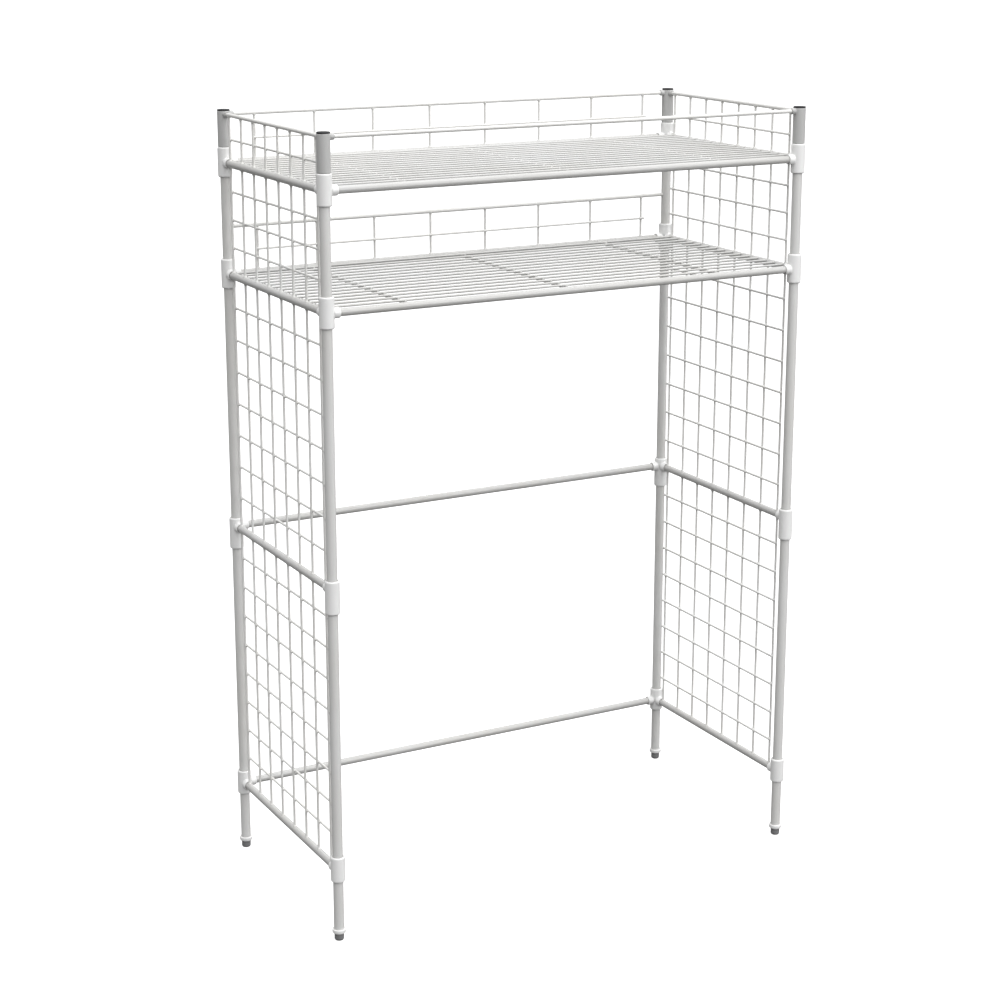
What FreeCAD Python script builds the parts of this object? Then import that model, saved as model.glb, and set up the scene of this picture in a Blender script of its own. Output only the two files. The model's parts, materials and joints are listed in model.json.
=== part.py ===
"""Over the toilet storage rack: four posts, two wire shelves and wire grid sides.

Frame: +Z up, +X to the right along the shelves, -Y to the front. The origin is on the floor,
in the middle of the four feet. Lengths are in millimetres.
"""
import FreeCAD, Part
import os

import Sketcher

App = FreeCAD
DIMENSIONS = {
    # whole rack, measured between the centrelines of the posts
    "width_cc": 660.0,
    "depth_cc": 310.0,
    "height_all": 1000.0,
    # centreline heights of the rails
    "level_bottom": 94.0,
    "level_mid": 456.0,
    "level_lower_shelf": 791.0,
    "level_upper_shelf": 933.0,
    # steel tubes and wires
    "post_dia": 12.7,
    "post_wall": 1.0,
    "rail_dia": 9.5,
    "rail_wall": 0.8,
    "wire_dia": 3.0,
    "brace_dia": 4.0,
    "guard_dia": 5.0,
    "weld_sink": 0.3,
    "wire_overhang": 3.0,
    # plastic connectors that hold the rails on the posts
    "sleeve_dia": 18.0,
    "sleeve_chamfer": 1.2,
    "boss_dia": 13.0,
    "boss_reach": 16.0,
    "socket_floor": 8.0,
    "bottom_drop": 15.0,
    "bottom_rise": 18.0,
    "mid_drop": 30.0,
    "mid_rise": 12.0,
    "shelf_drop": 18.0,
    "shelf_rise": 20.0,
    # finials on the post tops and the guard rails that end in them
    "finial_dia": 16.0,
    "finial_round": 1.2,
    "finial_roof": 4.0,
    "guard_boss_dia": 9.0,
    "guard_boss_reach": 13.0,
    "guard_socket_floor": 7.2,
    "guard_rise": 61.0,
    "guard_wire_rise": 30.0,
    # plastic feet pushed into the posts
    "foot_tip_dia": 12.0,
    "foot_sole_dia": 10.0,
    "foot_bevel": 1.5,
    "foot_tip_height": 9.0,
    "foot_flange_dia": 17.0,
    "foot_flange_height": 6.0,
    "foot_stem_length": 14.0,
    # steel ferrules inside the posts, across their joint
    "joiner_length": 60.0,
    # wire counts
    "side_wires": 8,
    "rows_lower": 8,
    "rows_upper": 7,
    "rows_shelf": 3,
    "deck_wires": 15,
    "deck_braces": 3,
    "guard_uprights": 8,
}

CORNERS = {
    "front_left": (-1, -1),
    "front_right": (1, -1),
    "back_left": (-1, 1),
    "back_right": (1, 1),
}
SIDES = {"left": -1, "right": 1}
SHELVES = {"lower_shelf": "dims.level_lower_shelf", "upper_shelf": "dims.level_upper_shelf"}

ALONG = {
    "X": App.Rotation(App.Vector(0, 1, 0), 90),
    "-X": App.Rotation(App.Vector(0, 1, 0), -90),
    "Y": App.Rotation(App.Vector(1, 0, 0), -90),
    "-Y": App.Rotation(App.Vector(1, 0, 0), 90),
    "Z": App.Rotation(),
}

# the sketcher's own numbers for a sketch's two axes
HORIZONTAL_AXIS = -1
VERTICAL_AXIS = -2

doc = FreeCAD.newDocument("storage_rack")
nodes = {}


def make_sheet():
    """The spreadsheet of driving dimensions, one named cell for each."""
    sheet = doc.addObject("Spreadsheet::Sheet", "dims")
    for row, (alias, value) in enumerate(DIMENSIONS.items(), start=1):
        sheet.set(f"A{row}", alias)
        sheet.set(f"B{row}", str(value))
        sheet.setAlias(f"B{row}", alias)
    doc.recompute()
    return sheet


def bind(thing, expressions):
    """Bind each named property of an object to its expression on the sheet."""
    for name, expression in expressions.items():
        thing.setExpression(name, expression)


def place(thing, start, direction="Z"):
    """Turn an object from +Z to a direction and bind its position to three expressions."""
    thing.Placement = App.Placement(App.Vector(), ALONG[direction])
    bind(thing, {f"Placement.Base.{axis}": value for axis, value in zip("xyz", start)})


def keep(thing, label):
    """Register an object as the sub-part of that name."""
    thing.Label = label
    nodes[label] = thing
    return thing


def rod(name, diameter, length, start, direction="Z"):
    """A round bar whose diameter, length and start are expressions."""
    bar = doc.addObject("Part::Cylinder", name)
    bind(bar, {"Radius": f"({diameter}) / 2", "Height": length})
    place(bar, start, direction)
    return bar


def fuse(name, pieces):
    """One shape from several touching pieces, or the piece itself where there is only one."""
    if len(pieces) == 1:
        return pieces[0]
    joined = doc.addObject("Part::MultiFuse", name)
    joined.Shapes = pieces
    joined.Refine = False
    return joined


def cut(name, base, tool):
    """The base without the tool."""
    result = doc.addObject("Part::Cut", name)
    result.Base = base
    result.Tool = tool
    result.Refine = False
    return result


def origin_plane(body, role):
    """One of a body's own origin planes."""
    return next(item for item in body.Origin.OriginFeatures if item.Role == role)


def sketch_on(body, name, role):
    """An empty sketch on one of a body's origin planes."""
    sketch = body.newObject("Sketcher::SketchObject", name)
    sketch.AttachmentSupport = [(origin_plane(body, role), "")]
    sketch.MapMode = "FlatFace"
    return sketch


def tube(name, outer_dia, wall, length, start, direction="Z"):
    """A round tube, padded from a ring."""
    body = doc.addObject("PartDesign::Body", name)
    sketch = sketch_on(body, f"{name}_ring", "XY_Plane")
    for radius, label, expression in ((2.0, "outer", f"{outer_dia} / 2"),
                                      (1.0, "inner", f"{outer_dia} / 2 - {wall}")):
        circle = Part.Circle(App.Vector(), App.Vector(0, 0, 1), radius)
        index = sketch.addGeometry(circle)
        sketch.addConstraint(Sketcher.Constraint("Coincident", index, 3, -1, 1))
        number = sketch.addConstraint(Sketcher.Constraint("Radius", index, radius))
        sketch.renameConstraint(number, label)
        sketch.setExpression(f"Constraints.{label}", expression)
    pad = body.newObject("PartDesign::Pad", f"{name}_pad")
    pad.Profile = sketch
    bind(pad, {"Length": length})
    place(body, start, direction)
    return body


def turned(name, outline):
    """A solid turned about Z from corners given as (radius, height) expressions.

    A radius of None lies on the axis, and a height of None on the body's base plane.
    """
    body = doc.addObject("PartDesign::Body", name)
    sketch = sketch_on(body, f"{name}_profile", "XZ_Plane")
    points = [App.Vector(evaluate(radius), evaluate(height), 0) for radius, height in outline]
    count = len(points)
    for index in range(count):
        sketch.addGeometry(Part.LineSegment(points[index], points[(index + 1) % count]))
    for index in range(count):
        sketch.addConstraint(Sketcher.Constraint("Coincident", index, 2, (index + 1) % count, 1))
    for index, (radius, height) in enumerate(outline):
        pin_corner(sketch, index, "DistanceX", points[index].x, radius, VERTICAL_AXIS)
        pin_corner(sketch, index, "DistanceY", points[index].y, height, HORIZONTAL_AXIS)
    spin = body.newObject("PartDesign::Revolution", f"{name}_turn")
    spin.Profile = sketch
    spin.ReferenceAxis = (sketch, ["V_Axis"])
    spin.Angle = 360
    return body


def pin_corner(sketch, index, kind, value, expression, axis):
    """Hold one coordinate of a sketch line's start: at its expression, or on the axis for None."""
    if expression is None:
        sketch.addConstraint(Sketcher.Constraint("PointOnObject", index, 1, axis))
        return
    label = f"{kind}_{index}"
    number = sketch.addConstraint(Sketcher.Constraint(kind, index, 1, value))
    sketch.renameConstraint(number, label)
    sketch.setExpression(f"Constraints.{label}", expression)


def evaluate(expression):
    """The present value of an expression on the sheet. None stands for zero."""
    if expression is None:
        return 0.0
    return float(dims.evalExpression(expression.replace("dims.", "")))


def corner_xy(signs):
    """The expressions of a post's centre."""
    return f"{signs[0]} * dims.width_cc / 2", f"{signs[1]} * dims.depth_cc / 2"


def spread(count, pitch):
    """The expressions of evenly pitched places about the middle."""
    return [f"{index - (count - 1) / 2} * {pitch}" for index in range(count)]


# ---------------------------------------------------------------- posts, feet and finials

JOINT = "(dims.level_mid - (dims.mid_drop - dims.mid_rise) / 2)"
POST_FOOT = "(dims.foot_tip_height + dims.foot_flange_height)"
POST_HEAD = "(dims.height_all - dims.finial_roof)"
FINIAL_BASE = "(dims.level_upper_shelf + dims.shelf_rise)"


def make_posts(corner, signs):
    """The lower and upper tube of one post, which meet inside the middle connector."""
    x, y = corner_xy(signs)
    lower = tube(f"lower_{corner}", "dims.post_dia", "dims.post_wall", f"{JOINT} - {POST_FOOT}",
                 (x, y, POST_FOOT))
    upper = tube(f"upper_{corner}", "dims.post_dia", "dims.post_wall", f"{POST_HEAD} - {JOINT}",
                 (x, y, JOINT))
    keep(lower, f"lower_post_{corner}")
    keep(upper, f"upper_post_{corner}")


def make_joiners():
    """The ferrules inside the posts, one across each joint: four identical solids in one sub-part."""
    bore = "(dims.post_dia - 2 * dims.post_wall)"
    ferrules = []
    for corner, signs in CORNERS.items():
        x, y = corner_xy(signs)
        ferrules.append(tube(f"joiner_{corner}", bore, "dims.post_wall", "dims.joiner_length",
                             (x, y, f"{JOINT} - dims.joiner_length / 2")))
    group = doc.addObject("Part::Compound", "joiner_group")
    group.Links = ferrules
    keep(group, "post_joiners")


def make_foot(corner, signs):
    """A push-in foot: tapered tip, flange under the tube and a stem inside it."""
    stem = "(dims.post_dia / 2 - dims.post_wall)"
    flange_top = POST_FOOT
    outline = [
        ("dims.foot_sole_dia / 2", None),
        ("dims.foot_tip_dia / 2", "dims.foot_bevel"),
        ("dims.foot_tip_dia / 2", "dims.foot_tip_height"),
        ("dims.foot_flange_dia / 2", "dims.foot_tip_height"),
        ("dims.foot_flange_dia / 2", flange_top),
        (stem, flange_top),
        (stem, f"{flange_top} + dims.foot_stem_length"),
        (None, f"{flange_top} + dims.foot_stem_length"),
        (None, None),
    ]
    foot = turned(f"foot_body_{corner}", outline)
    x, y = corner_xy(signs)
    place(foot, (x, y, "0"))
    keep(foot, f"foot_{corner}")


def make_finial(corner, signs):
    """A capped sleeve on the post's top, with a boss for each of its two guard rails."""
    radius = "dims.finial_dia / 2"
    guard = "(dims.level_upper_shelf + dims.guard_rise)"
    outline = [
        ("dims.post_dia / 2", FINIAL_BASE),
        (radius, FINIAL_BASE),
        (radius, "dims.height_all - dims.finial_round"),
        (f"{radius} - dims.finial_round", "dims.height_all"),
        (None, "dims.height_all"),
        (None, POST_HEAD),
        ("dims.post_dia / 2", POST_HEAD),
    ]
    shell = turned(f"finial_shell_{corner}", outline)
    bosses = []
    sockets = [rod(f"finial_bore_{corner}", "dims.post_dia", f"{POST_HEAD} - {FINIAL_BASE}",
                   ("0", "0", FINIAL_BASE))]
    for axis, sign in zip("XY", signs):
        inward = axis if sign < 0 else f"-{axis}"
        base = {"X": (f"{-sign} * dims.guard_socket_floor", "0", guard),
                "Y": ("0", f"{-sign} * dims.guard_socket_floor", guard)}[axis]
        bosses.append(rod(f"finial_boss_{axis}_{corner}", "dims.guard_boss_dia",
                          "dims.guard_boss_reach", ("0", "0", guard), inward))
        sockets.append(rod(f"finial_socket_{axis}_{corner}", "dims.guard_dia",
                           "dims.guard_boss_reach", base, inward))
    solid = fuse(f"finial_solid_{corner}", [shell] + bosses)
    finial = cut(f"finial_cut_{corner}", solid, fuse(f"finial_tools_{corner}", sockets))
    x, y = corner_xy(signs)
    place(finial, (x, y, "0"))
    keep(finial, f"finial_{corner}")


# ---------------------------------------------------------------- connectors

def make_connector(label, signs, level, drop, rise, axes):
    """A chamfered sleeve on a post, with a socket boss towards each rail it holds."""
    radius = "dims.sleeve_dia / 2"
    outline = [
        ("dims.post_dia / 2", f"-{drop}"),
        (f"{radius} - dims.sleeve_chamfer", f"-{drop}"),
        (radius, f"dims.sleeve_chamfer - {drop}"),
        (radius, f"{rise} - dims.sleeve_chamfer"),
        (f"{radius} - dims.sleeve_chamfer", rise),
        ("dims.post_dia / 2", rise),
    ]
    sleeve = turned(f"{label}_sleeve", outline)
    bosses = []
    tools = [rod(f"{label}_bore", "dims.post_dia", f"{drop} + {rise}", ("0", "0", f"-{drop}"))]
    for axis in axes:
        sign = signs["XY".index(axis)]
        inward = axis if sign < 0 else f"-{axis}"
        floor = f"{-sign} * dims.socket_floor"
        start = (floor, "0", "0") if axis == "X" else ("0", floor, "0")
        bosses.append(rod(f"{label}_boss_{axis}", "dims.boss_dia", "dims.boss_reach",
                          ("0", "0", "0"), inward))
        tools.append(rod(f"{label}_socket_{axis}", "dims.rail_dia", "dims.boss_reach", start, inward))
    solid = fuse(f"{label}_solid", [sleeve] + bosses)
    connector = cut(f"{label}_cut", solid, fuse(f"{label}_tools", tools))
    x, y = corner_xy(signs)
    place(connector, (x, y, level))
    keep(connector, label)


def make_connectors(corner, signs):
    """The four connectors of one post. Rails run along X at the front only on the shelves."""
    frame_axes = "XY" if signs[1] > 0 else "Y"
    make_connector(f"bottom_connector_{corner}", signs, "dims.level_bottom",
                   "dims.bottom_drop", "dims.bottom_rise", frame_axes)
    make_connector(f"mid_connector_{corner}", signs, "dims.level_mid",
                   "dims.mid_drop", "dims.mid_rise", frame_axes)
    for shelf, level in SHELVES.items():
        make_connector(f"{shelf}_connector_{corner}", signs, level,
                       "dims.shelf_drop", "dims.shelf_rise", "XY")


# ---------------------------------------------------------------- rails

SIDE_SPAN = "(dims.depth_cc - 2 * dims.socket_floor)"
LONG_SPAN = "(dims.width_cc - 2 * dims.socket_floor)"


def make_side_rail(label, side, level):
    """A tube from the front post to the back post of one side."""
    start = (f"{side} * dims.width_cc / 2", f"-{SIDE_SPAN} / 2", level)
    keep(tube(f"{label}_tube", "dims.rail_dia", "dims.rail_wall", SIDE_SPAN, start, "Y"), label)


def make_long_rail(label, depth_sign, level):
    """A tube from the left post to the right post, at the front or at the back."""
    start = (f"-{LONG_SPAN} / 2", f"{depth_sign} * dims.depth_cc / 2", level)
    keep(tube(f"{label}_tube", "dims.rail_dia", "dims.rail_wall", LONG_SPAN, start, "X"), label)


def make_rails():
    """The open frame's rails, and the four rails of each shelf."""
    make_long_rail("rear_bottom_rail", 1, "dims.level_bottom")
    make_long_rail("rear_mid_rail", 1, "dims.level_mid")
    for side_name, side in SIDES.items():
        make_side_rail(f"{side_name}_bottom_rail", side, "dims.level_bottom")
        make_side_rail(f"{side_name}_mid_rail", side, "dims.level_mid")
    for shelf, level in SHELVES.items():
        make_long_rail(f"{shelf}_front_rail", -1, level)
        make_long_rail(f"{shelf}_rear_rail", 1, level)
        for side_name, side in SIDES.items():
            make_side_rail(f"{shelf}_{side_name}_rail", side, level)


# ---------------------------------------------------------------- wire work

WIRE_STEP = "(dims.wire_dia - dims.weld_sink)"


def side_verticals(label, side, low, high):
    """The upright wires of one side, between two heights."""
    pitch = "dims.depth_cc / dims.side_wires"
    places = spread(int(evaluate("dims.side_wires")), pitch)
    x = f"{side} * dims.width_cc / 2"
    return [rod(f"{label}_upright_{number}", "dims.wire_dia", f"{high} - {low}", (x, y, low))
            for number, y in enumerate(places)]


def side_row(name, side, height):
    """A level wire welded to the inner face of one side's upright wires."""
    half = "((dims.side_wires - 1) / 2 * dims.depth_cc / dims.side_wires + dims.wire_overhang)"
    x = f"{side} * (dims.width_cc / 2 - {WIRE_STEP})"
    return rod(name, "dims.wire_dia", f"2 * {half}", (x, f"-{half}", height), "Y")


def side_rail_tool(name, side, level):
    """The space of a side rail, which the wire ends are shaped to."""
    start = (f"{side} * dims.width_cc / 2", "-dims.depth_cc / 2", level)
    return rod(name, "dims.rail_dia", "dims.depth_cc", start, "Y")


def make_side_grid(label, side, low, high, rows):
    """A welded wire grid between two side rails."""
    wires = side_verticals(label, side, low, high)
    for number in range(1, rows + 1):
        height = f"{low} + ({high} - {low}) * {number} / {rows + 1}"
        wires.append(side_row(f"{label}_row_{number}", side, height))
    tools = [side_rail_tool(f"{label}_low_rail", side, low), side_rail_tool(f"{label}_high_rail", side, high)]
    keep(cut(f"{label}_cut", fuse(f"{label}_wires", wires), fuse(f"{label}_tools", tools)), label)


def make_side_guard(label, side):
    """The guard above one end of the upper shelf: a rail, a level wire and upright wires."""
    low = "dims.level_upper_shelf"
    high = f"({low} + dims.guard_rise)"
    half = "(dims.depth_cc / 2 - dims.guard_socket_floor)"
    rail = rod(f"{label}_rail", "dims.guard_dia", f"2 * {half}",
               (f"{side} * dims.width_cc / 2", f"-{half}", high), "Y")
    row = side_row(f"{label}_row", side, f"{low} + dims.guard_wire_rise")
    wires = [rail, row] + side_verticals(label, side, low, high)
    tool = side_rail_tool(f"{label}_tool", side, low)
    keep(cut(f"{label}_cut", fuse(f"{label}_wires", wires), tool), label)


def long_rail_tool(name, depth_sign, level):
    """The space of a long rail, which the wire ends are shaped to."""
    start = ("-dims.width_cc / 2", f"{depth_sign} * dims.depth_cc / 2", level)
    return rod(name, "dims.rail_dia", "dims.width_cc", start, "X")


def make_rear_guard(label, level, rail_end, end_tools):
    """The guard behind a shelf: a rail, a level wire and upright wires on the rear rail."""
    high = f"({level} + dims.guard_rise)"
    y = "dims.depth_cc / 2"
    half = f"(dims.width_cc / 2 - {rail_end})"
    wire_half = "((dims.guard_uprights - 1) / 2 * dims.width_cc / dims.guard_uprights + dims.wire_overhang)"
    wires = [
        rod(f"{label}_rail", "dims.guard_dia", f"2 * {half}", (f"-{half}", y, high), "X"),
        rod(f"{label}_row", "dims.wire_dia", f"2 * {wire_half}",
            (f"-{wire_half}", f"{y} - {WIRE_STEP}", f"{level} + dims.guard_wire_rise"), "X"),
    ]
    places = spread(int(evaluate("dims.guard_uprights")), "dims.width_cc / dims.guard_uprights")
    for number, x in enumerate(places):
        wires.append(rod(f"{label}_upright_{number}", "dims.wire_dia", "dims.guard_rise", (x, y, level)))
    tools = fuse(f"{label}_tools", [long_rail_tool(f"{label}_low_rail", 1, level)] + end_tools)
    keep(cut(f"{label}_cut", fuse(f"{label}_wires", wires), tools), label)


def make_front_guard(label):
    """The single guard rail across the front of the upper shelf, from finial to finial."""
    half = "(dims.width_cc / 2 - dims.guard_socket_floor)"
    start = (f"-{half}", "-dims.depth_cc / 2", "dims.level_upper_shelf + dims.guard_rise")
    keep(rod(f"{label}_rail", "dims.guard_dia", f"2 * {half}", start, "X"), label)


def make_deck(label, level):
    """A shelf's floor: long wires welded over braces, all between the shelf's four rails."""
    wire_z = f"({level} + (dims.wire_dia + dims.brace_dia) / 2 - dims.weld_sink)"
    wires = []
    for number, y in enumerate(spread(int(evaluate("dims.deck_wires")),
                                      "dims.depth_cc / (dims.deck_wires + 1)")):
        wires.append(rod(f"{label}_wire_{number}", "dims.wire_dia", "dims.width_cc",
                         ("-dims.width_cc / 2", y, wire_z), "X"))
    for number, x in enumerate(spread(int(evaluate("dims.deck_braces")),
                                      "dims.width_cc / dims.deck_braces")):
        wires.append(rod(f"{label}_brace_{number}", "dims.brace_dia", "dims.depth_cc",
                         (x, "-dims.depth_cc / 2", level), "Y"))
    tools = [long_rail_tool(f"{label}_front", -1, level), long_rail_tool(f"{label}_rear", 1, level)]
    tools += [side_rail_tool(f"{label}_{name}", side, level) for name, side in SIDES.items()]
    keep(cut(f"{label}_cut", fuse(f"{label}_wires", wires), fuse(f"{label}_rails", tools)), label)


def make_wire_work():
    """All grids, guards and decks."""
    for side_name, side in SIDES.items():
        make_side_grid(f"{side_name}_lower_grid", side, "dims.level_bottom", "dims.level_mid",
                       int(evaluate("dims.rows_lower")))
        make_side_grid(f"{side_name}_upper_grid", side, "dims.level_mid", "dims.level_lower_shelf",
                       int(evaluate("dims.rows_upper")))
        make_side_grid(f"{side_name}_shelf_grid", side, "dims.level_lower_shelf", "dims.level_upper_shelf",
                       int(evaluate("dims.rows_shelf")))
        make_side_guard(f"{side_name}_top_guard", side)
    post_tools = [rod(f"guard_post_{name}", "dims.post_dia", "dims.height_all",
                      (f"{side} * dims.width_cc / 2", "dims.depth_cc / 2", "0"))
                  for name, side in SIDES.items()]
    make_rear_guard("lower_shelf_rear_guard", SHELVES["lower_shelf"], "0", post_tools)
    make_rear_guard("upper_shelf_rear_guard", SHELVES["upper_shelf"], "dims.guard_socket_floor", [])
    make_front_guard("upper_shelf_front_guard")
    for shelf, level in SHELVES.items():
        make_deck(f"{shelf}_deck", level)


# ---------------------------------------------------------------- build, check and export

def check_document():
    """Stop at any failed feature, or any sub-part that isn't one valid solid."""
    for thing in doc.Objects:
        if "Invalid" in thing.State or "Error" in thing.State:
            raise RuntimeError(f"{thing.Label} failed: {thing.State}")
    for label, thing in nodes.items():
        shape = thing.Shape
        expected = len(CORNERS) if label == "post_joiners" else 1
        if shape.isNull() or not shape.isValid() or len(shape.Solids) != expected:
            raise RuntimeError(f"{label} is not valid, or has {len(shape.Solids)} solids")


def export_nodes():
    """Write one STEP file for each sub-part."""
    os.makedirs("parts", exist_ok=True)
    for label, thing in nodes.items():
        thing.Shape.exportStep(f"parts/{label}.step")
        print(f"{label}: {thing.Shape.Volume:.0f} mm3")


dims = make_sheet()
for corner_name, corner_signs in CORNERS.items():
    make_posts(corner_name, corner_signs)
    make_foot(corner_name, corner_signs)
    make_finial(corner_name, corner_signs)
    make_connectors(corner_name, corner_signs)
make_joiners()
make_rails()
make_wire_work()
doc.recompute()
check_document()
export_nodes()
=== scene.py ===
"""Over the toilet storage rack: finishes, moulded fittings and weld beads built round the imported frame."""
import json
import math

import bmesh
import bpy
from mathutils import Matrix, Vector


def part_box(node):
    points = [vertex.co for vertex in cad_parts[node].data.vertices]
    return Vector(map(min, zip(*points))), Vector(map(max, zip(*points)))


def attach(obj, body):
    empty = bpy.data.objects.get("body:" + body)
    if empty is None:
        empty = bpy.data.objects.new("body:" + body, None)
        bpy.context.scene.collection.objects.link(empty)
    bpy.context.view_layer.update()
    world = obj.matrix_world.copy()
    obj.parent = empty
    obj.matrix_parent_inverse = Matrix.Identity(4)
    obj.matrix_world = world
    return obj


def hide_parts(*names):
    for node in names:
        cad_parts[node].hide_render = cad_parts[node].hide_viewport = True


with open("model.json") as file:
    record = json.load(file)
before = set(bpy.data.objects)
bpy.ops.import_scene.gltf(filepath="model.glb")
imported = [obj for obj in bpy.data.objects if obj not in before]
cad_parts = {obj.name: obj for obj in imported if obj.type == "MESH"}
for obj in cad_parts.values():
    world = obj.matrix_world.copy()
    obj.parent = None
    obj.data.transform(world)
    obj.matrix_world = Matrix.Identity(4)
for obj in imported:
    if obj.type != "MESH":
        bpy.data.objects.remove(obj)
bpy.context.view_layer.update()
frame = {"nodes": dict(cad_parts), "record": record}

MM = 0.001
CORNERS = {"front_left": (-1, -1), "front_right": (1, -1), "back_left": (-1, 1), "back_right": (1, 1)}
QUARTER_TURNS = {"front_left": 0, "front_right": 1, "back_right": 2, "back_left": 3}
SIDES = {"left": -1, "right": 1}
WELD_SINK = 0.3 * MM        # how far crossing wires are pressed into each other
BRACE_R = 2 * MM
CONNECTOR_BOSS_R = 6.5 * MM
GUARD_BOSS_R = 4 * MM
CAP_THICK = 2.1 * MM
FOOT_TIP_R, FOOT_SOLE_R = 6 * MM, 5 * MM
FLANGE_THICK = 6 * MM
GUARD_ROW_RISE = 30 * MM    # of a guard's level wire over its shelf's rails


# ---------------------------------------------------------------- places read from the frame

def middle(node):
    """The centre of a CAD node's box."""
    low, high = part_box(node)
    return (low + high) / 2


def extent(node):
    """The size of a CAD node's box."""
    low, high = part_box(node)
    return high - low


POST_X = middle("lower_post_front_right").x
POST_Y = middle("lower_post_back_left").y
POST_R = extent("lower_post_front_left").x / 2
RAIL_R = extent("rear_mid_rail").z / 2
WIDTH, DEPTH = 2 * POST_X, 2 * POST_Y
LEVEL = {
    "bottom": middle("left_bottom_rail").z,
    "mid": middle("left_mid_rail").z,
    "lower_shelf": middle("lower_shelf_left_rail").z,
    "upper_shelf": middle("upper_shelf_left_rail").z,
}
GUARD_R = extent("upper_shelf_front_guard").z / 2
GUARD_Z = middle("upper_shelf_front_guard").z
WIRE_R = (extent("left_lower_grid").x + WELD_SINK) / 4


# ---------------------------------------------------------------- mesh building

def arc_corner(before, point, after, radius, steps):
    """Points of a round corner of a section."""
    back, ahead = before - point, after - point
    reach = min(radius, back.length * 0.49, ahead.length * 0.49)
    start, end = point + back.normalized() * reach, point + ahead.normalized() * reach
    made = []
    for step in range(steps + 1):
        t = step / steps
        made.append(start * (1 - t) ** 2 + point * 2 * t * (1 - t) + end * t ** 2)
    return made


def rounded(points, steps=5):
    """A section from (radius, height, corner radius) rows, with its corners rounded."""
    flat = [Vector((radius, height)) for radius, height, _ in points]
    made = []
    for index, (_, _, corner) in enumerate(points):
        if corner <= 0 or index in (0, len(points) - 1):
            made.append(flat[index])
        else:
            made += arc_corner(flat[index - 1], flat[index], flat[index + 1], corner, steps)
    return made


def lathe(bm, section, matrix=Matrix.Identity(4), segments=72, closed=False):
    """Turn a section, given as (radius, height) in metres, about the local Z axis."""
    rings = []
    for radius, height in section:
        if radius < 1e-7:
            rings.append([bm.verts.new(matrix @ Vector((0, 0, height)))])
            continue
        ring = []
        for k in range(segments):
            turn = 2 * math.pi * k / segments
            spot = Vector((radius * math.cos(turn), radius * math.sin(turn), height))
            ring.append(bm.verts.new(matrix @ spot))
        rings.append(ring)
    pairs = list(zip(rings, rings[1:]))
    if closed:
        pairs.append((rings[-1], rings[0]))
    for low, high in pairs:
        for k in range(segments):
            n = (k + 1) % segments
            if len(low) == 1 and len(high) == 1:
                continue
            if len(low) == 1:
                bm.faces.new((low[0], high[n], high[k]))
            elif len(high) == 1:
                bm.faces.new((low[k], low[n], high[0]))
            else:
                bm.faces.new((low[k], low[n], high[n], high[k]))


def aim(origin, direction):
    """The matrix that takes +Z to a direction, at an origin."""
    turn = Vector(direction).to_track_quat("Z", "Y").to_matrix().to_4x4()
    return Matrix.Translation(Vector(origin)) @ turn


def at_corner(corner, z=0.0, turned=True):
    """The matrix that takes the front left post's axis to a corner, turned to face the rack's middle."""
    side, face = CORNERS[corner]
    place = Matrix.Translation((side * POST_X, face * POST_Y, z))
    if not turned:
        return place
    return place @ Matrix.Rotation(QUARTER_TURNS[corner] * math.pi / 2, 4, "Z")


def mesh_from(bm, name):
    """A smooth-shaded mesh with outward faces from a bmesh."""
    bmesh.ops.recalc_face_normals(bm, faces=bm.faces)
    mesh = bpy.data.meshes.new(name)
    bm.to_mesh(mesh)
    bm.free()
    mesh.polygons.foreach_set("use_smooth", [True] * len(mesh.polygons))
    return mesh


def show(mesh, name, material):
    """A piece of the rack made from a mesh in the row frame."""
    piece = bpy.data.objects.new(name, mesh)
    bpy.context.scene.collection.objects.link(piece)
    mesh.materials.clear()
    mesh.materials.append(material)
    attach(piece, "root")
    return piece


def moulded(bm, name, voxel, passes):
    """One skin round overlapping closed solids, with its edges and inner corners softened."""
    mesh = mesh_from(bm, name + "_parts")
    helper = bpy.data.objects.new(name + "_parts", mesh)
    bpy.context.scene.collection.objects.link(helper)
    union = helper.modifiers.new("union", "REMESH")
    union.mode = "VOXEL"
    union.voxel_size = voxel
    union.use_smooth_shade = True
    soften = helper.modifiers.new("soften", "SMOOTH")
    soften.factor = 0.5
    soften.iterations = passes
    bpy.context.view_layer.update()
    depsgraph = bpy.context.evaluated_depsgraph_get()
    skin = bpy.data.meshes.new_from_object(helper.evaluated_get(depsgraph))
    skin.name = name
    skin.polygons.foreach_set("use_smooth", [True] * len(skin.polygons))
    bpy.data.objects.remove(helper)
    bpy.data.meshes.remove(mesh)
    return skin


def ring_tube(bm, inner, outer, low, high, edge, matrix=Matrix.Identity(4), segments=72):
    """A closed thick-walled ring with its outer edges cut at an angle and a flared mouth."""
    mouth = 0.7 * MM
    section = [
        (inner, low + mouth), (inner + mouth, low), (outer - edge, low), (outer, low + edge),
        (outer, high - edge), (outer - edge, high), (inner + mouth, high), (inner, high - mouth),
    ]
    lathe(bm, section, matrix, segments, closed=True)


# ---------------------------------------------------------------- materials

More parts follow.
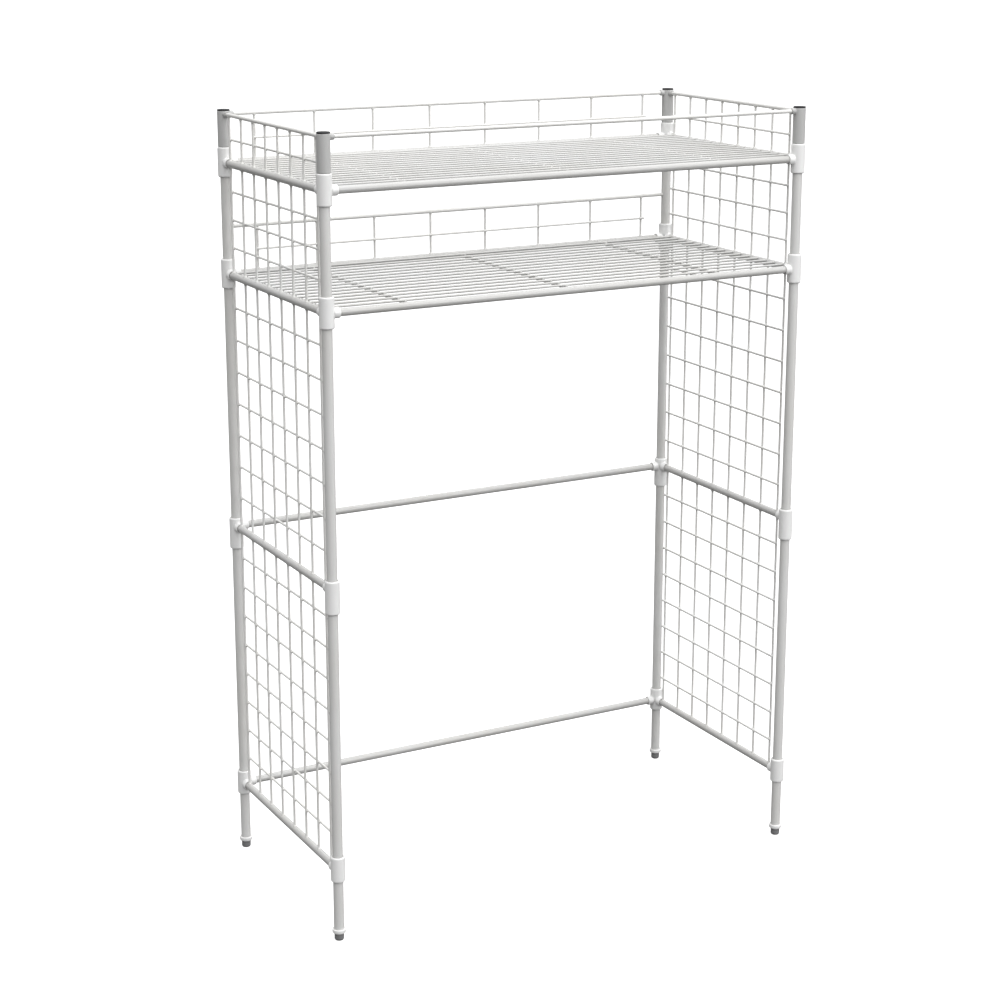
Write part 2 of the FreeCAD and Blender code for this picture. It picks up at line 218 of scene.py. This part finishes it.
class Finish:
    """A node material under construction."""

    def __init__(self, name):
        self.material = bpy.data.materials.new(name)
        self.material.use_nodes = True
        self.tree = self.material.node_tree
        self.tree.nodes.clear()
        self.out = self.add("ShaderNodeOutputMaterial")
        self.skin = self.add("ShaderNodeBsdfPrincipled")
        self.join(self.skin.outputs[0], self.out.inputs[0])
        self.place = self.add("ShaderNodeTexCoord").outputs["Object"]

    def add(self, kind, **settings):
        node = self.tree.nodes.new(kind)
        for key, value in settings.items():
            setattr(node, key, value)
        return node

    def join(self, source, target):
        self.tree.links.new(source, target)

    def noise(self, scale, detail=2.0, rough=0.5, stretch=None):
        """Noise in cells per metre, optionally stretched."""
        source = self.place
        if stretch:
            mapping = self.add("ShaderNodeMapping")
            mapping.inputs["Scale"].default_value = stretch
            self.join(self.place, mapping.inputs["Vector"])
            source = mapping.outputs[0]
        node = self.add("ShaderNodeTexNoise")
        node.inputs["Scale"].default_value = scale
        node.inputs["Detail"].default_value = detail
        node.inputs["Roughness"].default_value = rough
        self.join(source, node.inputs["Vector"])
        return node.outputs[0]

    def remap(self, value, low, high, to_low, to_high, smooth=False):
        node = self.add("ShaderNodeMapRange")
        node.interpolation_type = "SMOOTHSTEP" if smooth else "LINEAR"
        for socket, number in zip(node.inputs[1:5], (low, high, to_low, to_high)):
            socket.default_value = number
        self.join(value, node.inputs[0])
        return node.outputs[0]

    def maths(self, operation, first, second):
        node = self.add("ShaderNodeMath", operation=operation)
        for socket, value in zip(node.inputs, (first, second)):
            if isinstance(value, (int, float)):
                socket.default_value = value
            else:
                self.join(value, socket)
        return node.outputs[0]

    def blend(self, amount, first, second):
        """Colours mixed by an amount; each is a socket or three numbers."""
        node = self.add("ShaderNodeMix", data_type="RGBA")
        self.join(amount, node.inputs[0])
        for socket, value in zip((node.inputs[6], node.inputs[7]), (first, second)):
            if isinstance(value, tuple):
                socket.default_value = (*value, 1.0)
            else:
                self.join(value, socket)
        return node.outputs[2]

    def bumps(self, *layers):
        """Bump layers given as (height socket, depth in metres, strength)."""
        last = None
        for height, depth, strength in layers:
            node = self.add("ShaderNodeBump")
            node.inputs["Distance"].default_value = depth
            node.inputs["Strength"].default_value = strength
            self.join(height, node.inputs["Height"])
            if last:
                self.join(last, node.inputs["Normal"])
            last = node.outputs[0]
        self.join(last, self.skin.inputs["Normal"])

    def crevice(self, reach, samples=6):
        """1 in the open, falling to 0 in corners narrower than the reach."""
        node = self.add("ShaderNodeAmbientOcclusion")
        node.samples = samples
        node.inputs["Distance"].default_value = reach
        return node.outputs["AO"]

    def edges(self, low, high):
        """1 on outward edges of a dense mesh, 0 elsewhere."""
        return self.remap(self.add("ShaderNodeNewGeometry").outputs["Pointiness"], low, high, 0, 1, True)


def powder_coat(name, tint, peel, gloss):
    """Gloss white powder coat: orange peel, nibs, thin yellowing and painted shade in corners.

    The roughness starts at the gloss value, which stays over 0.274: Cycles' denoiser treats a smoother
    surface as a mirror, and draws hard-edged patches where the roughness crosses that value.
    """
    f = Finish(name)
    cloud = f.remap(f.noise(7, 3), 0.3, 0.7, 0, 1)
    pale = tuple(min(1.0, c * 1.03) for c in tint)
    warm = (tint[0] * 0.965, tint[1] * 0.955, tint[2] * 0.93)
    colour = f.blend(cloud, pale, warm)
    streak = f.remap(f.noise(60, 2, 0.5), 0.3, 0.8, 0, 0.14)
    colour = f.blend(streak, colour, tuple(c * 0.93 for c in tint))
    cells = f.add("ShaderNodeTexVoronoi")
    cells.inputs["Scale"].default_value = 170
    f.join(f.place, cells.inputs["Vector"])
    nibs = f.remap(cells.outputs["Distance"], 0.05, 0.12, 1, 0, True)
    keep = f.add("ShaderNodeSeparateColor")
    f.join(cells.outputs["Color"], keep.inputs[0])
    nibs = f.maths("MULTIPLY", nibs, f.remap(keep.outputs[0], 0.86, 0.9, 0, 1))
    colour = f.blend(f.maths("MULTIPLY", nibs, 0.22), colour, (0.55, 0.54, 0.52))
    # Painted shade: the colour darkens towards grey in corners and between parts, read from ambient
    # occlusion and broken up by noise; the same mask also roughens the coat there.
    corner = f.remap(f.crevice(5 * MM), 0.45, 0.95, 1, 0, True)
    corner_shade = f.maths("MULTIPLY", corner, f.remap(f.noise(300, 3), 0.3, 0.7, 0.25, 0.7))
    colour = f.blend(corner_shade, colour, (0.36, 0.35, 0.34))
    f.join(colour, f.skin.inputs["Base Color"])
    rough = f.remap(f.noise(120, 1.5), 0.2, 0.8, gloss, gloss + 0.10)
    f.join(f.maths("ADD", rough, f.maths("MULTIPLY", corner_shade, 0.3)), f.skin.inputs["Roughness"])
    f.skin.inputs["Coat Weight"].default_value = 0.35
    f.skin.inputs["Coat Roughness"].default_value = 0.12
    f.bumps((f.noise(peel, 1.5), 0.05 * MM, 0.35), (f.noise(45, 1), 0.05 * MM, 0.08), (nibs, 0.08 * MM, 0.4))
    return f.material


def moulded_plastic(name, tint, gloss, grain, corner_shade_colour, worn, shine=0.5):
    """Injection-moulded plastic: fine tool texture, flow marks, rubbed edges and painted shade in corners.
    """
    f = Finish(name)
    flow = f.remap(f.noise(40, 4, 0.55, (1, 1, 0.35)), 0.3, 0.7, 0, 1)
    colour = f.blend(flow, tint, tuple(c * 0.95 for c in tint))
    rub = f.maths("MULTIPLY", f.edges(0.52, 0.60), f.remap(f.noise(220, 4, 0.65), 0.42, 0.62, 0, 0.8, True))
    colour = f.blend(rub, colour, worn)
    # Painted shade: the colour darkens towards the shade colour in corners and between parts, read from
    # ambient occlusion and broken up by noise.
    corner = f.remap(f.crevice(3.5 * MM), 0.4, 0.95, 1, 0, True)
    corner_shade = f.maths("MULTIPLY", corner, f.remap(f.noise(420, 3), 0.3, 0.7, 0.35, 0.85))
    colour = f.blend(corner_shade, colour, corner_shade_colour)
    f.join(colour, f.skin.inputs["Base Color"])
    rough = f.remap(f.noise(500, 3), 0.3, 0.7, gloss, gloss + 0.14)
    f.join(f.maths("ADD", rough, f.maths("MULTIPLY", rub, 0.12)), f.skin.inputs["Roughness"])
    f.skin.inputs["Specular IOR Level"].default_value = shine
    f.bumps((f.noise(grain, 2), 0.03 * MM, 0.45), (flow, 0.08 * MM, 0.1))
    return f.material


def drawn_steel(name):
    """Plain drawn tube, streaked along its length."""
    f = Finish(name)
    lines = f.noise(900, 4, 0.6, (1, 1, 0.03))
    stain = f.remap(f.noise(80, 4), 0.45, 0.7, 0, 0.6)
    colour = f.blend(f.remap(lines, 0.3, 0.7, 0, 1), (0.62, 0.62, 0.63), (0.50, 0.50, 0.51))
    f.join(f.blend(stain, colour, (0.42, 0.38, 0.33)), f.skin.inputs["Base Color"])
    f.skin.inputs["Metallic"].default_value = 1.0
    f.join(f.remap(lines, 0.3, 0.7, 0.28, 0.45), f.skin.inputs["Roughness"])
    f.bumps((lines, 0.02 * MM, 0.4))
    return f.material


FINISH = {
    "white_tube": powder_coat("white_tube_coat", (0.74, 0.74, 0.735), 620, 0.285),
    "white_wire": powder_coat("white_wire_coat", (0.80, 0.80, 0.79), 800, 0.285),
    "white_connector": moulded_plastic("white_connector_plastic", (0.93, 0.93, 0.925), 0.32, 2600,
                                       (0.42, 0.41, 0.39), (0.86, 0.86, 0.85)),
    "white_finial": moulded_plastic("white_finial_plastic", (0.54, 0.54, 0.535), 0.32, 2600,
                                    (0.32, 0.31, 0.30), (0.66, 0.66, 0.65)),
    "grey_foot": moulded_plastic("grey_foot_plastic", (0.22, 0.22, 0.225), 0.55, 2200,
                                 (0.05, 0.05, 0.05), (0.34, 0.34, 0.34)),
    "bare_steel": drawn_steel("bare_drawn_steel"),
}
# Painted shade: the finial caps are near-black to stand in for the shade inside an open post end.
SHADE_BLACK_CAP = moulded_plastic("cap_plastic_painted_shade", (0.045, 0.045, 0.047), 0.75, 1600,
                           (0.02, 0.02, 0.02), (0.10, 0.10, 0.10), 0.2)
# Painted shade: a darker copy of the wire coat for the shelf floors, which are the same white wire.
SHADED_DECK_COAT = powder_coat("white_deck_coat_painted_shade", (0.62, 0.62, 0.615), 800, 0.30)
# Painted shade: a darker copy of the tube coat for the rails, which are the same white tube as the posts.
SHADED_RAIL_COAT = powder_coat("white_rail_coat_painted_shade", (0.57, 0.57, 0.565), 620, 0.285)

slot_of = {row["node"]: row["material_slot"] for row in frame["record"]["subparts"]}
# Shelf floors and rails get the darker copies of their coats, as painted shade.
for name, node in frame["nodes"].items():
    if name.endswith("_deck"):
        coat = SHADED_DECK_COAT
    elif name.endswith("_rail"):
        coat = SHADED_RAIL_COAT
    else:
        coat = FINISH[slot_of[name]]
    node.data.materials.clear()
    node.data.materials.append(coat)


# ---------------------------------------------------------------- connectors

def connector_skin(name, drop, rise, arms, reach):
    """A sleeve on a post with a boss towards each rail, moulded in one."""
    sleeve_r = extent("bottom_connector_front_left").x / 2
    bm = bmesh.new()
    ring_tube(bm, POST_R, sleeve_r, -drop, rise, 1.2 * MM)
    for arm in arms:
        ring_tube(bm, RAIL_R, CONNECTOR_BOSS_R, POST_R + 0.9 * MM, reach, 0.8 * MM, aim((0, 0, 0), arm), 56)
    return moulded(bm, name, 0.42 * MM, 9)


def make_connectors():
    """The sixteen connectors, each turned from one of five mouldings."""
    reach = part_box("bottom_connector_front_left")[1].y + POST_Y
    skins = {}
    for corner, (_, face) in CORNERS.items():
        for level, z in LEVEL.items():
            node = f"{level}_connector_{corner}"
            low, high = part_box(node)
            both = face > 0 or "shelf" in level
            key = (level.replace("lower_", "").replace("upper_", ""), both)
            if key not in skins:
                arms = [(1, 0, 0), (0, 1, 0)] if both else [(0, 1, 0)]
                skins[key] = connector_skin(f"{key[0]}_{len(arms)}", z - low.z, high.z - z, arms, reach)
            mesh = skins[key].copy()
            mesh.transform(at_corner(corner, z, both))
            piece = show(mesh, f"{level}_moulding_{corner}", FINISH["white_connector"])
            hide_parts(node)
    for skin in skins.values():
        bpy.data.meshes.remove(skin)


# ---------------------------------------------------------------- finials and feet

def make_finials():
    """The sleeve on each post top, with its two guard bosses, and the cap that closes it, coloured
    near-black as painted shade of an open post end.
    """
    low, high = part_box("finial_front_left")
    radius = -POST_X - low.x
    reach = high.x + POST_X
    post_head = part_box("upper_post_front_left")[1].z
    seam = high.z - CAP_THICK
    bm = bmesh.new()
    lathe(bm, rounded([
        (0, seam, 0), (radius, seam, 0.5 * MM), (radius, low.z, 0.8 * MM),
        (POST_R + 0.6 * MM, low.z, 0.3 * MM), (POST_R, low.z + 1.2 * MM, 0.2 * MM),
        (POST_R, post_head, 0), (0, post_head, 0),
    ]))
    for arm in ((1, 0, 0), (0, 1, 0)):
        ring_tube(bm, GUARD_R, GUARD_BOSS_R, 4 * MM, reach, 0.7 * MM, aim((0, 0, GUARD_Z), arm), 48)
    shell = moulded(bm, "finial_shell", 0.34 * MM, 6)
    cap_r = radius - 0.1 * MM
    neck_r = radius - 1.3 * MM
    bm = bmesh.new()
    lathe(bm, rounded([
        (0, seam - 0.4 * MM, 0), (neck_r, seam - 0.4 * MM, 0), (neck_r, seam + 0.05 * MM, 0),
        (cap_r, seam + 0.05 * MM, 0.25 * MM), (cap_r, high.z - 0.25 * MM, 0.5 * MM),
        (0, high.z - 0.02 * MM, 0),
    ], 8), segments=96)
    cap = mesh_from(bm, "finial_cap")
    for corner in CORNERS:
        mesh, lid = shell.copy(), cap.copy()
        mesh.transform(at_corner(corner))
        lid.transform(at_corner(corner))
        piece = show(mesh, f"finial_shell_{corner}", FINISH["white_finial"])
        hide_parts(f"finial_{corner}")
        show(lid, f"finial_cap_{corner}", SHADE_BLACK_CAP)
    bpy.data.meshes.remove(shell)
    bpy.data.meshes.remove(cap)


def make_feet():
    """The push-in feet: a pale flanged stem, and a hollow-soled dark tip under it."""
    low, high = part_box("foot_front_left")
    flange_r = (high.x - low.x) / 2
    tube_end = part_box("lower_post_front_left")[0].z
    flange_low = tube_end - FLANGE_THICK
    stem_r = POST_R - 1.1 * MM
    neck_r = FOOT_TIP_R - 1.2 * MM
    neck_low = flange_low - 1.5 * MM
    tip_high = flange_low - 0.25 * MM
    socket_floor = flange_low - 2 * MM
    hollow = low.z + 0.7 * MM
    stem = rounded([
        (0, neck_low, 0), (neck_r, neck_low, 0.1 * MM), (neck_r, flange_low, 0.1 * MM),
        (flange_r - 1.6 * MM, flange_low, 0.5 * MM), (flange_r, flange_low + 1.6 * MM, 0.8 * MM),
        (flange_r, tube_end, 1.1 * MM), (stem_r, tube_end, 0.1 * MM), (stem_r, high.z, 0.8 * MM),
        (0, high.z, 0),
    ], 6)
    tip = rounded([
        (0, hollow, 0), (2.9 * MM, hollow, 0.3 * MM), (3.5 * MM, low.z, 0.3 * MM),
        (FOOT_SOLE_R, low.z, 0.4 * MM), (FOOT_TIP_R, low.z + 1.5 * MM, 0.8 * MM),
        (FOOT_TIP_R, tip_high, 0.5 * MM), (neck_r, tip_high, 0.1 * MM),
        (neck_r, socket_floor, 0), (0, socket_floor, 0),
    ], 6)
    for corner in CORNERS:
        for part, section, slot in (("moulding", stem, "white_connector"), ("tip", tip, "grey_foot")):
            bm = bmesh.new()
            lathe(bm, section, at_corner(corner, turned=False), 96)
            name = f"foot_{part}_{corner}"
            piece = show(mesh_from(bm, name), name, FINISH[slot])
            if part == "moulding":
                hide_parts(f"foot_{corner}")


# ---------------------------------------------------------------- weld beads

def spread(count, pitch):
    """Evenly pitched places about zero."""
    return [(k - (count - 1) / 2) * pitch for k in range(count)]


def between(low, high, rows):
    """Heights that divide a span into rows + 1 equal parts."""
    return [low + (high - low) * k / (rows + 1) for k in range(1, rows + 1)]


WELD_STEP = 2 * WIRE_R - WELD_SINK
WIRE_OVERHANG = 3 * MM
NUGGET_LONG, NUGGET_WIDE = 1.25 * WIRE_R, 1.42 * WIRE_R
END_SINK, END_HEIGHT = 1.2 * MM, 2 * MM
SIDE_PLACES = spread(8, DEPTH / 8)
GUARD_PLACES = spread(8, WIDTH / 8)
DECK_PLACES = spread(15, DEPTH / 16)
BRACE_PLACES = spread(3, WIDTH / 3)
SIDE_PANELS = (
    # name, the rail levels it joins, the number of level wires
    ("lower_grid", "bottom", "mid", 8),
    ("upper_grid", "mid", "lower_shelf", 7),
    ("shelf_grid", "lower_shelf", "upper_shelf", 3),
)


def bead(bm, centre, radii):
    """A squeezed weld nugget at a crossing, as an ellipsoid."""
    rows = 9
    section = [(math.sin(math.pi * k / rows), -math.cos(math.pi * k / rows)) for k in range(rows + 1)]
    section[0], section[-1] = (0, -1), (0, 1)
    lathe(bm, section, Matrix.Translation(centre) @ Matrix.Diagonal((*radii, 1)), 14)


def collar(bm, origin, direction, flare, wire_r=WIRE_R, depth=END_SINK, height=END_HEIGHT):
    """The fillet round a wire's end where it is welded to a rail, sunk into the rail by a depth."""
    section = [(wire_r * 0.5, -depth), (wire_r + flare, -depth)]
    for k in range(6):
        t = k / 5
        section.append((wire_r + flare * (1 - t) ** 2.2 + 0.03 * MM, t * height))
    section.append((wire_r * 0.5, height))
    lathe(bm, section, aim(origin, direction), 18, closed=True)


def wire_end(bm, point, direction):
    """The coat's rounded end on a cut wire."""
    sunk, crown = -0.6 * MM, WIRE_R * 0.45
    section = [(0, sunk), (WIRE_R * 0.98, sunk)]
    for k in range(5):
        turn = k * math.pi / 10
        section.append((WIRE_R * math.cos(turn), crown * math.sin(turn)))
    section.append((0, crown))
    lathe(bm, section, aim(point, direction), 20)


def show_welds(bm, panel, coat):
    """The welds of a wire panel as one piece."""
    name = f"{panel}_welds"
    show(mesh_from(bm, name), name, coat)


def side_welds(panel, side, low, high, heights, top_r, overhang):
    """The nuggets, end fillets and wire ends of one side panel."""
    bm = bmesh.new()
    x = side * POST_X
    inner = x - side * WELD_STEP
    for y in SIDE_PLACES:
        for z in heights:
            bead(bm, Vector(((x + inner) / 2, y, z)), (NUGGET_LONG, NUGGET_WIDE, NUGGET_WIDE))
        collar(bm, (x, y, low + RAIL_R), (0, 0, 1), 0.9 * MM)
        collar(bm, (x, y, high - top_r), (0, 0, -1), 0.9 * MM)
    for z in heights:
        for sign in (-1, 1):
            wire_end(bm, (inner, sign * overhang, z), (0, sign, 0))
    show_welds(bm, panel, FINISH["white_wire"])


def rear_welds(panel, level, high):
    """The nuggets and end fillets of a shelf's rear guard."""
    bm = bmesh.new()
    inner = POST_Y - WELD_STEP
    row = level + GUARD_ROW_RISE
    for x in GUARD_PLACES:
        bead(bm, Vector((x, (POST_Y + inner) / 2, row)), (NUGGET_WIDE, NUGGET_LONG, NUGGET_WIDE))
        collar(bm, (x, POST_Y, level + RAIL_R), (0, 0, 1), 0.9 * MM)
        collar(bm, (x, POST_Y, high - GUARD_R), (0, 0, -1), 0.7 * MM, height=1.7 * MM)
    for sign in (-1, 1):
        wire_end(bm, (sign * (GUARD_PLACES[-1] + WIRE_OVERHANG), inner, row), (sign, 0, 0))
    show_welds(bm, panel, FINISH["white_wire"])


def deck_welds(panel, level):
    """The nuggets over the braces and the end fillets of a shelf floor."""
    bm = bmesh.new()
    wire_z = level + WIRE_R + BRACE_R - WELD_SINK
    reach = math.sqrt(RAIL_R ** 2 - (wire_z - level) ** 2)
    crossing = (1.5 * WIRE_R, NUGGET_WIDE, 1.5 * WIRE_R)
    for y in DECK_PLACES:
        for x in BRACE_PLACES:
            bead(bm, Vector((x, y, (wire_z + level) / 2 + 0.3 * MM)), crossing)
        for sign in (-1, 1):
            collar(bm, (sign * (POST_X - reach), y, wire_z), (-sign, 0, 0), 0.7 * MM)
    for x in BRACE_PLACES:
        for sign in (-1, 1):
            foot = (x, sign * (POST_Y - RAIL_R), level)
            collar(bm, foot, (0, -sign, 0), 1.0 * MM, BRACE_R, 0.8 * MM, 2.2 * MM)
    show_welds(bm, panel, SHADED_DECK_COAT)


def make_welds():
    """The weld beads of every wire panel."""
    top = LEVEL["upper_shelf"]
    for side_name, side in SIDES.items():
        for kind, low, high, rows in SIDE_PANELS:
            panel = f"{side_name}_{kind}"
            low_z, high_z = LEVEL[low], LEVEL[high]
            heights = between(low_z, high_z, rows)
            side_welds(panel, side, low_z, high_z, heights, RAIL_R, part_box(panel)[1].y)
        side_welds(f"{side_name}_top_guard", side, top, GUARD_Z, [top + GUARD_ROW_RISE], GUARD_R,
                   SIDE_PLACES[-1] + WIRE_OVERHANG)
    for shelf in ("lower_shelf", "upper_shelf"):
        rear_welds(f"{shelf}_rear_guard", LEVEL[shelf], LEVEL[shelf] + GUARD_Z - top)
        deck_welds(f"{shelf}_deck", LEVEL[shelf])


# ---------------------------------------------------------------- floor, light and camera

def make_floor():
    """A plain pale floor."""
    bm = bmesh.new()
    lathe(bm, [(0, 0), (2, 0), (6, 0), (20, 0), (90, 0)], Matrix.Translation((0, 0, -0.0002)), 64)
    floor = bpy.data.objects.new("floor", mesh_from(bm, "floor"))
    bpy.context.scene.collection.objects.link(floor)
    f = Finish("pale_floor")
    ray = f.add("ShaderNodeLightPath").outputs["Is Camera Ray"]
    f.join(f.blend(ray, (0.07, 0.07, 0.07), (0.40, 0.40, 0.40)), f.skin.inputs["Base Color"])
    f.skin.inputs["Roughness"].default_value = 0.9
    f.skin.inputs["Specular IOR Level"].default_value = 0.1
    f.skin.inputs["Emission Color"].default_value = (1, 1, 1, 1)
    f.join(f.remap(ray, 0, 1, 0, 0.86), f.skin.inputs["Emission Strength"])
    floor.data.materials.append(f.material)


def make_world():
    """Soft studio surround: brighter towards the right and overhead, and dim along the horizon."""
    world = bpy.data.worlds.new("studio")
    bpy.context.scene.world = world
    world.use_nodes = True
    tree = world.node_tree
    tree.nodes.clear()
    out = tree.nodes.new("ShaderNodeOutputWorld")
    mix = tree.nodes.new("ShaderNodeMixShader")
    seen, studio = tree.nodes.new("ShaderNodeBackground"), tree.nodes.new("ShaderNodeBackground")
    seen.inputs[0].default_value = (1, 1, 1, 1)
    path = tree.nodes.new("ShaderNodeLightPath")
    coords = tree.nodes.new("ShaderNodeTexCoord")

    def shade(direction, low, high, dim, bright):
        """A smooth change of strength along a direction."""
        aspect = tree.nodes.new("ShaderNodeVectorMath")
        aspect.operation = "DOT_PRODUCT"
        aspect.inputs[1].default_value = Vector(direction).normalized()
        span = tree.nodes.new("ShaderNodeMapRange")
        span.interpolation_type = "SMOOTHSTEP"
        for socket, value in zip(span.inputs[1:5], (low, high, dim, bright)):
            socket.default_value = value
        tree.links.new(coords.outputs["Generated"], aspect.inputs[0])
        tree.links.new(aspect.outputs["Value"], span.inputs[0])
        return span.outputs[0]

    strength = tree.nodes.new("ShaderNodeMath")
    strength.operation = "MULTIPLY"
    tree.links.new(shade((0.72, -0.62, 0.30), -0.8, 0.9, 0.90, 2.05), strength.inputs[0])
    tree.links.new(shade((0, 0, 1), -0.05, 0.5, 0.45, 1.05), strength.inputs[1])
    tree.links.new(strength.outputs[0], studio.inputs["Strength"])
    tree.links.new(path.outputs["Is Camera Ray"], mix.inputs[0])
    tree.links.new(studio.outputs[0], mix.inputs[1])
    tree.links.new(seen.outputs[0], mix.inputs[2])
    tree.links.new(mix.outputs[0], out.inputs[0])


def soft_box(name, place, target, size, power):
    """A square area light aimed at a point."""
    light = bpy.data.lights.new(name, "AREA")
    light.size = size
    light.energy = power
    lamp = bpy.data.objects.new(name, light)
    lamp.location = place
    lamp.rotation_euler = (Vector(target) - Vector(place)).to_track_quat("-Z", "Y").to_euler()
    lamp.visible_camera = False
    bpy.context.scene.collection.objects.link(lamp)


def make_camera():
    """The camera, at the front left and a little over the rack's top."""
    lens = bpy.data.cameras.new("camera")
    lens.lens = 77.3
    lens.sensor_width = 36
    lens.shift_y = -0.05
    lens.clip_end = 100
    camera = bpy.data.objects.new("camera", lens)
    yaw, pitch = math.radians(28.3), math.radians(14.31)
    ahead = Vector((math.sin(yaw) * math.cos(pitch), math.cos(yaw) * math.cos(pitch), -math.sin(pitch)))
    camera.location = (-1.3111, -2.399, 1.2511)
    camera.rotation_mode = "QUATERNION"
    camera.rotation_quaternion = ahead.to_track_quat("-Z", "Y")
    bpy.context.scene.collection.objects.link(camera)
    bpy.context.scene.camera = camera


make_connectors()
make_finials()
make_feet()
make_welds()
make_floor()
make_world()
soft_box("key", (0.75, -2.0, 1.25), (0, 0, 0.5), 1.0, 7)
soft_box("top", (0.0, -0.3, 3.0), (0, 0, 0.5), 2.0, 15)
make_camera()
bpy.context.scene.view_settings.view_transform = "Standard"
